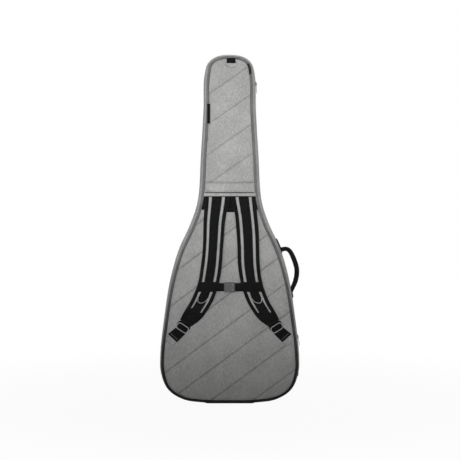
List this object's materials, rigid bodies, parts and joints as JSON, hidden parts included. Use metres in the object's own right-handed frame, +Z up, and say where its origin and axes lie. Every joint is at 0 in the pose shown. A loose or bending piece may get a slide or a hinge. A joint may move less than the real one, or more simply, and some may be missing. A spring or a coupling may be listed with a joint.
{
  "type": "padded gig bag",
  "caption": "Upright padded gig bag for an acoustic guitar: quilted back, zipped lid, shoulder straps with a sternum buckle, side handle, hang ring and front pocket.",
  "frame": {"origin": "middle of the base pad's flat underside", "axes": "+Z up along the neck, -Y out of the carrying side, +Y out of the lid, +X towards the carry handle"},
  "size_m": [0.4539, 0.247, 1.1208],
  "materials": {
    "grey_fabric": "heathered woven polyester, quilted",
    "piping": "woven binding over cord",
    "foam": "closed-cell foam",
    "lining": "brushed plush",
    "black_webbing": "woven polypropylene webbing",
    "black_padding": "air mesh over foam",
    "trim": "light woven ribbon",
    "zip_tape": "woven zip tape",
    "zip_teeth": "coil",
    "zip_slider": "black lacquer",
    "zip_pull": "moulded",
    "buckle": "moulded acetal",
    "ladder_lock": "moulded acetal, light grey",
    "metal": "nickel plated wire",
    "rubber": "moulded rubber"
  },
  "bodies": {
    "back_half": {"back_body_panel": "grey_fabric", "back_neck_panel": "grey_fabric", "cross_band": "grey_fabric", "back_piping": "piping", "back_foam": "foam", "back_gusset": "grey_fabric", "back_gusset_foam": "foam", "back_lining": "lining", "zip_tape_back": "zip_tape", "zip_teeth_back": "zip_teeth", "lid_hinge_strip": "grey_fabric", "base_pad": "rubber", "zip_end_tab": "zip_tape", "strap_anchor_panel": "black_padding", "corner_tab_left": "grey_fabric", "lower_webbing_left": "black_webbing", "corner_tab_right": "grey_fabric", "lower_webbing_right": "black_webbing", "hang_tab": "black_webbing", "side_label": "black_webbing", "handle_anchor_upper": "black_webbing", "handle_anchor_lower": "black_webbing", "neck_cradle": "foam", "end_pin_pad": "foam"},
    "lid": {"front_panel": "grey_fabric", "front_piping": "piping", "front_foam": "foam", "front_lining": "lining", "lid_gusset": "grey_fabric", "lid_gusset_foam": "foam", "zip_tape_front": "zip_tape", "zip_teeth_front": "zip_teeth", "pocket_gusset": "grey_fabric", "pocket_panel": "grey_fabric", "pocket_zip_chain": "zip_tape"},
    "body_zip_slider_body": {"body_zip_slider": "zip_slider"},
    "body_zip_pull_body": {"body_zip_pull": "zip_pull"},
    "neck_zip_slider_body": {"neck_zip_slider": "zip_slider"},
    "neck_zip_pull_body": {"neck_zip_pull": "zip_pull"},
    "pocket_zip_slider_body": {"pocket_zip_slider": "zip_slider"},
    "pocket_zip_pull_body": {"pocket_zip_pull": "zip_pull"},
    "strap_left": {"shoulder_pad_left": "black_padding", "strap_webbing_left": "black_webbing", "strap_trim_outer_left": "trim", "strap_trim_inner_left": "trim", "sternum_webbing_left": "black_webbing", "buckle_female": "buckle"},
    "strap_right": {"shoulder_pad_right": "black_padding", "strap_webbing_right": "black_webbing", "strap_trim_outer_right": "trim", "strap_trim_inner_right": "trim", "sternum_webbing_right": "black_webbing"},
    "sternum_plug": {"buckle_male": "buckle"},
    "prong_upper": {"buckle_prong_upper": "buckle"},
    "prong_lower": {"buckle_prong_lower": "buckle"},
    "lock_left": {"ladder_lock_left": "ladder_lock"},
    "lock_right": {"ladder_lock_right": "ladder_lock"},
    "hang_ring": {"d_ring": "metal"},
    "handle": {"carry_handle": "black_webbing"},
    "neck_strap_body": {"neck_strap": "black_webbing"}
  },
  "joints": [
    {"name": "lid_hinge", "type": "hinge", "parent": "back_half", "child": "lid", "pos_m": [-0.2246, -0.015, 0.25], "axis": [0, 0, 1], "range_deg": [0, 160]},
    {"name": "body_zip_travel", "type": "slide", "parent": "back_half", "child": "body_zip_slider_body", "axis": [-0.1318, 0, 0.9913], "range_m": [0, 0.1342]},
    {"name": "body_zip_pull_swing", "type": "hinge", "parent": "body_zip_slider_body", "child": "body_zip_pull_body", "pos_m": [0.22556, -0.015, 0.21303], "axis": [0, -1, 0], "range_deg": [0, 150]},
    {"name": "neck_zip_travel", "type": "slide", "parent": "back_half", "child": "neck_zip_slider_body", "axis": [0.0196, 0, -0.9998], "range_m": [0, 0.08]},
    {"name": "neck_zip_pull_swing", "type": "hinge", "parent": "neck_zip_slider_body", "child": "neck_zip_pull_body", "pos_m": [0.08873, -0.015, 1.03015], "axis": [0, -1, 0], "range_deg": [0, 150]},
    {"name": "pocket_zip_travel", "type": "slide", "parent": "lid", "child": "pocket_zip_slider_body", "axis": [1, 0, 0], "range_m": [0, 0.226]},
    {"name": "pocket_zip_pull_swing", "type": "hinge", "parent": "pocket_zip_slider_body", "child": "pocket_zip_pull_body", "pos_m": [-0.113, 0.1087, 0.368], "axis": [1, 0, 0], "range_deg": [0, 150]},
    {"name": "shoulder_strap_left_lift", "type": "hinge", "parent": "back_half", "child": "strap_left", "pos_m": [-0.041, -0.0845, 0.664], "axis": [-1, 0, 0], "range_deg": [0, 12]},
    {"name": "shoulder_strap_right_lift", "type": "hinge", "parent": "back_half", "child": "strap_right", "pos_m": [0.041, -0.0845, 0.664], "axis": [-1, 0, 0], "range_deg": [0, 12]},
    {"name": "sternum_plug_pull", "type": "slide", "parent": "strap_right", "child": "sternum_plug", "axis": [1, 0, 0], "range_m": [0, 0.02]},
    {"name": "prong_upper_press", "type": "slide", "parent": "sternum_plug", "child": "prong_upper", "axis": [0, 0, -1], "range_m": [0, 0.0025], "stiffness_N_per_m": 300},
    {"name": "prong_lower_press", "type": "slide", "parent": "sternum_plug", "child": "prong_lower", "axis": [0, 0, 1], "range_m": [0, 0.0025], "stiffness_N_per_m": 300},
    {"name": "ladder_lock_left_tilt", "type": "hinge", "parent": "strap_left", "child": "lock_left", "pos_m": [-0.14583, -0.088, 0.25597], "axis": [-0.8387, 0, 0.5446], "range_deg": [0, 40]},
    {"name": "ladder_lock_right_tilt", "type": "hinge", "parent": "strap_right", "child": "lock_right", "pos_m": [0.14583, -0.088, 0.25597], "axis": [-0.8387, 0, -0.5446], "range_deg": [0, 40]},
    {"name": "hang_ring_swing", "type": "hinge", "parent": "back_half", "child": "hang_ring", "pos_m": [0, -0.084, 1.095], "axis": [-1, 0, 0], "range_deg": [0, 120]},
    {"name": "carry_handle_swing", "type": "hinge", "parent": "back_half", "child": "handle", "pos_m": [0.19, -0.055, 0.436], "axis": [-0.2499, 0, 0.9683], "range_deg": [-30, 30]},
    {"name": "neck_strap_lift", "type": "hinge", "parent": "back_half", "child": "neck_strap_body", "pos_m": [-0.052, -0.0222, 0.795], "axis": [0, 0, 1], "range_deg": [0, 15]}
  ],
  "couplings": [
    {"joint": "shoulder_strap_right_lift", "follows": "shoulder_strap_left_lift", "ratio": 1},
    {"joint": "prong_lower_press", "follows": "prong_upper_press", "ratio": 1}
  ]
}
